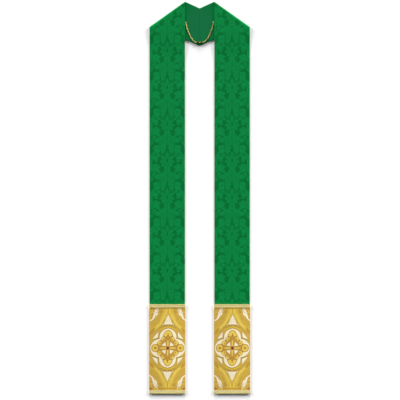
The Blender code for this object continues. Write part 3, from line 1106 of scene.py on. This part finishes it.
def float_stitch(name, length, width, height, slant, surface):
    """One raised thread of a braid: a small slanted cushion along Y, standing on z = 0."""
    made = block(name, (-width / 2, -length / 2, 0.0), (width / 2, length / 2, height))
    edit(made)
    bpy.ops.mesh.select_all(action="SELECT")
    bpy.ops.mesh.subdivide(number_cuts=1, smoothness=0.0)
    choose("VERT", lambda vert: abs(vert.co.y) > length / 2 - NEAR)
    bpy.ops.transform.resize(value=(0.5, 1.0, 0.45))
    choose("VERT", lambda vert: vert.co.z > height / 2 + NEAR and abs(vert.co.x) > NEAR)
    bpy.ops.transform.resize(value=(0.6, 0.9, 0.8))
    choose("VERT", lambda vert: vert.co.y > length / 4)
    bpy.ops.transform.translate(value=(slant / 2, 0.0, 0.0))
    choose("VERT", lambda vert: vert.co.y < -length / 4)
    bpy.ops.transform.translate(value=(-slant / 2, 0.0, 0.0))
    done()
    made.data.materials.append(surface)
    return made


def row_of(pattern, low, high, y, z, pitch):
    """A row across a braid of copies of a small shape, which is then taken away."""
    count = round((high - low) / pitch)
    steps = [(step + 0.5) / count for step in range(count)]
    places = [Matrix.Translation((between(low, high, step), y, z)) for step in steps]
    made = repeated(pattern, places, "row")
    bpy.data.objects.remove(pattern)
    return made


def braid(word, which, ground, upper, lower, above, below):
    """A woven braid: a ribbon with two rows of slanted threads and a twisted cord on each edge."""
    low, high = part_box(f"braid_{which}_{word}")
    middle_y = (low.y + high.y) / 2
    ribbon_top = low.z + RIBBON_HEIGHT
    ribbon = block("ribbon", low, (high.x, high.y, ribbon_top))
    edit(ribbon)
    if which == "hem":
        choose("EDGE", lambda edge: abs(span(edge).z) > 0.1 * MM and middle(edge).y < low.y + MM)
        bpy.ops.mesh.bevel(offset=BAND_CORNER, segments=8)
    choose("EDGE", lambda edge: abs(span(edge).z) < NEAR and middle(edge).z > ribbon_top - NEAR)
    bpy.ops.mesh.bevel(offset=RIBBON_EDGE, segments=2)
    done()
    ribbon.data.materials.append(ground)
    inner = (high.y - low.y) / 2 - CORD_WIDTH
    parts = [ribbon]
    for surface, direction in ((upper, 1), (lower, -1)):
        slant = direction * inner * 0.75
        stitch = float_stitch("float", inner * 1.02, FLOAT_WIDTH, FLOAT_HEIGHT, slant, surface)
        y = middle_y + direction * inner / 2
        edge = inner * 0.45
        z = ribbon_top - 0.05 * MM
        parts.append(row_of(stitch, low.x + edge, high.x - edge, y, z, FLOAT_PITCH))
    for surface, direction in ((above, 1), (below, -1)):
        length = CORD_WIDTH * 1.1
        twist = float_stitch("twist", length, TWIST_WIDTH, TWIST_HEIGHT, TWIST_SLANT, surface)
        y = middle_y + direction * (inner + CORD_WIDTH * 0.45)
        edge = BAND_CORNER if which == "hem" and direction < 0 else CORD_WIDTH
        z = low.z + 0.25 * MM
        parts.append(row_of(twist, low.x + edge, high.x - edge, y, z, TWIST_PITCH))
    made = joined(f"braid_{which}_{word}_woven", *parts)
    return cover(made, f"braid_{which}_{word}")


# The chain.


def on_lining(across, drop, height):
    return Vector((across * MM, TOP_Y - drop * MM, height))


def smooth_route(points):
    """Close points on the smooth curve through these ones, and the run up to each."""
    ends = [points[0] * 2 - points[1], *points, points[-1] * 2 - points[-2]]
    curve = []
    for before, start, end, after in zip(ends, ends[1:], ends[2:], ends[3:]):
        for place in share(16)[:-1]:
            line = (end - before) * place
            square = (before * 2 - start * 5 + end * 4 - after) * place**2
            cube = (start * 3 - before - end * 3 + after) * place**3
            curve.append(start + (line + square + cube) / 2)
    curve.append(points[-1])
    run = [0.0]
    for start, end in zip(curve, curve[1:]):
        run.append(run[-1] + (end - start).length)
    return curve, run


def along_route(curve, run, goal):
    """The place and the direction that far along."""
    at = next((i for i, length in enumerate(run) if length >= goal and i), len(run) - 1)
    piece = (goal - run[at - 1]) / (run[at] - run[at - 1])
    return between(curve[at - 1], curve[at], piece), (curve[at] - curve[at - 1]).normalized()


def lying(place, direction, tilt):
    """The turn and place of a link whose length follows a direction along the surface."""
    direction = direction.normalized()
    side = Vector((-direction.y, direction.x, 0.0))
    turn = Matrix((direction, side, direction.cross(side))).transposed().to_4x4()
    return Matrix.Translation(place) @ turn @ Matrix.Rotation(tilt, 4, "X")


def link(surface):
    """An oval link: a ring pulled out along X."""
    made = wire_ring("link", LINK_SIDE, LINK_WIRE, 20, 8)
    pull = LINK_HALF - LINK_WIRE - LINK_SIDE
    edit(made)
    choose("VERT", lambda vert: vert.co.x > NEAR)
    bpy.ops.transform.translate(value=(pull, 0.0, 0.0))
    choose("VERT", lambda vert: vert.co.x < -NEAR)
    bpy.ops.transform.translate(value=(-pull, 0.0, 0.0))
    done()
    made.data.materials.append(surface)
    return made


def chain(word, surface, dark):
    points = [on_lining(*at, LINK_HEIGHT) for at in CHAIN_ROUTES[word]]
    curve, run = smooth_route(points)
    count = round(run[-1] / LINK_STEP)
    places = []
    for number in range(count + 1):
        place, direction = along_route(curve, run, run[-1] * number / count)
        tilt = LINK_TILT if number % 2 else -LINK_TILT
        places.append(lying(place, direction, tilt))
    pattern = link(surface)
    link_faces = len(pattern.data.polygons)
    made = repeated(pattern, places, f"chain_{word}_links")
    bpy.data.objects.remove(pattern)
    # The last link, at the clasp, is darkened.
    made.data.materials.append(dark)
    for face in made.data.polygons[-link_faces:]:
        face.material_index = 1
    cover(made, "chain_" + word)


def ring(node, turn, surface, wire):
    """A jump ring in the place of that node, turned by degrees on the cloth and tilted."""
    low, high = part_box(node)
    centre = (low + high) / 2
    made = wire_ring(node + "_wire", (high.x - low.x) / 2 - wire, wire, 40, 12)
    made.data.transform(Matrix.Rotation(LINK_TILT, 4, "X"))
    made.data.transform(Matrix.Rotation(math.radians(turn), 4, "Z"))
    made.data.transform(Matrix.Translation((centre.x, centre.y, RING_HEIGHT)))
    made.data.materials.append(surface)
    smooth(made)
    return cover(made, node)


def clasp(surface, dark):
    """A small barrel clasp with turned rims and an eye at each end."""
    low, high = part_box("clasp")
    radius = (high.z - low.z) / 2
    half = (high.x - low.x) / 2
    centre = (low + high) / 2
    bpy.ops.mesh.primitive_cylinder_add(vertices=32, radius=radius * 0.9, depth=2 * half)
    made = named("clasp_barrel")
    made.data.transform(Matrix.Rotation(math.pi / 2, 4, "Y"))
    edit(made)
    # Rims at the ends and a groove in the middle, cut as rings and drawn in or out.
    for place in (-0.86, -0.72, -0.12, -0.05, 0.05, 0.12, 0.72, 0.86):
        bpy.ops.mesh.select_all(action="SELECT")
        bpy.ops.mesh.bisect(plane_co=(place * half, 0, 0), plane_no=(1, 0, 0))
    for place, size in ((0.86, 1.11), (0.72, 1.11), (0.05, 0.9), (1.0, 0.62)):
        choose("VERT", lambda vert: abs(abs(vert.co.x) - place * half) < NEAR)
        bpy.ops.transform.resize(value=(1.0, size, size))
    done()
    made.data.transform(Matrix.Translation(centre))
    apply(made, "BEVEL", width=0.12 * MM, segments=2, limit_method="ANGLE", angle_limit=math.radians(30))
    made.data.materials.append(surface)
    smooth(made, 40)
    eyes = []
    for side in (-1, 1):
        eye = wire_ring("eye", EYE_RADIUS, EYE_WIRE, 24, 8)
        eye.data.transform(Matrix.Rotation(math.radians(60), 4, "X"))
        eye.data.transform(Matrix.Translation(centre + Vector((side * (half + 0.75 * MM), 0, 0))))
        eye.data.materials.append(dark)
        smooth(eye)
        eyes.append(eye)
    return cover(joined("clasp_barrel", made, *eyes), "clasp")


# Surroundings.


def floor():
    bpy.ops.mesh.primitive_plane_add(size=14.0, location=(0.0, 0.0, -0.05 * MM))
    made = named("floor")
    settle(made)
    finish = Finish("pale floor", {"Roughness": 0.9, "Specular IOR Level": 0.1})
    grain = finish.noise(finish.place(), 300.0, 2.0)
    finish.set("Base Color", finish.shaded((0.9, 0.9, 0.9, 1.0), 0.99 + grain * 0.02))
    made.data.materials.append(finish.material)


def lights():
    """Three soft windows beyond the neck, one on each side of the middle one, and soft light."""
    for word, (elevation, turn, strength) in WINDOWS.items():
        elevation = math.radians(elevation)
        sun = bpy.data.lights.new(word + " window", "SUN")
        sun.energy = strength * math.pi / math.sin(elevation)
        sun.angle = math.radians(WINDOW_WIDTH)
        lamp = bpy.data.objects.new(word + " window", sun)
        lamp.rotation_euler = (elevation - math.pi / 2, 0.0, -math.radians(turn))
        bpy.context.scene.collection.objects.link(lamp)
    world = bpy.data.worlds.new("soft light")
    world.use_nodes = True
    sky = world.node_tree.nodes["Background"]
    sky.inputs["Color"].default_value = (1.0, 1.0, 1.0, 1.0)
    sky.inputs["Strength"].default_value = SOFT_LIGHT
    bpy.context.scene.world = world
    bpy.context.scene.view_settings.view_transform = "Standard"


# Everything in its place.


def fastening():
    """The chain with its clasp and its rings."""
    bright = metal("chain gold", (238, 228, 152), (204, 188, 112), 0.5)
    dull = metal("chain gold, duller", (222, 204, 134), (170, 148, 94), 0.5)
    plated = metal("clasp gold", (186, 138, 86), (146, 98, 58), 0.34)
    dark = metal("darkened brass", (92, 44, 34), (56, 28, 24), 0.4)
    barrel = clasp(plated, dark)
    for word in SIDES:
        ring("sewn_ring_" + word, 90, dull, LINK_WIRE)
        ring("clasp_ring_" + word, 0, dark, CLASP_RING_WIRE)
    chain("left", bright, dark)
    chain("right", dull, dark)


YARNS = {
    "ground": ("braid ground", 222, 210, 150),
    "cream": ("cream thread", 240, 230, 170),
    "pale": ("pale gold thread", 231, 216, 146),
    "olive": ("olive gold thread", 219, 213, 150),
    "moss": ("moss gold thread", 222, 212, 104),
    "orange": ("orange gold thread", 226, 178, 108),
    "warm": ("warm gold thread", 234, 202, 116),
    "antique": ("antique gold thread", 184, 164, 96),
}
# Each braid's ribbon, its upper and lower threads, and the cord above and below them.
BRAIDS = {
    "top": ("ground", "olive", "pale", "orange", "warm"),
    "hem": ("ground", "cream", "pale", "antique", "moss"),
}


def cloths():
    """Each side's strap, neck lining, brocade end and braids."""
    green = damask()
    plain = satin()
    yarns = {key: yarn(*look) for key, look in YARNS.items()}
    for word, side in SIDES.items():
        carrier = strap(word, side, green, plain).name
        lining(word, side, plain)
        end = band(word, brocade(side))
        trims = [braid(word, which, *[yarns[key] for key in keys]) for which, keys in BRAIDS.items()]


straight_down_camera()
fastening()
cloths()
floor()
lights()
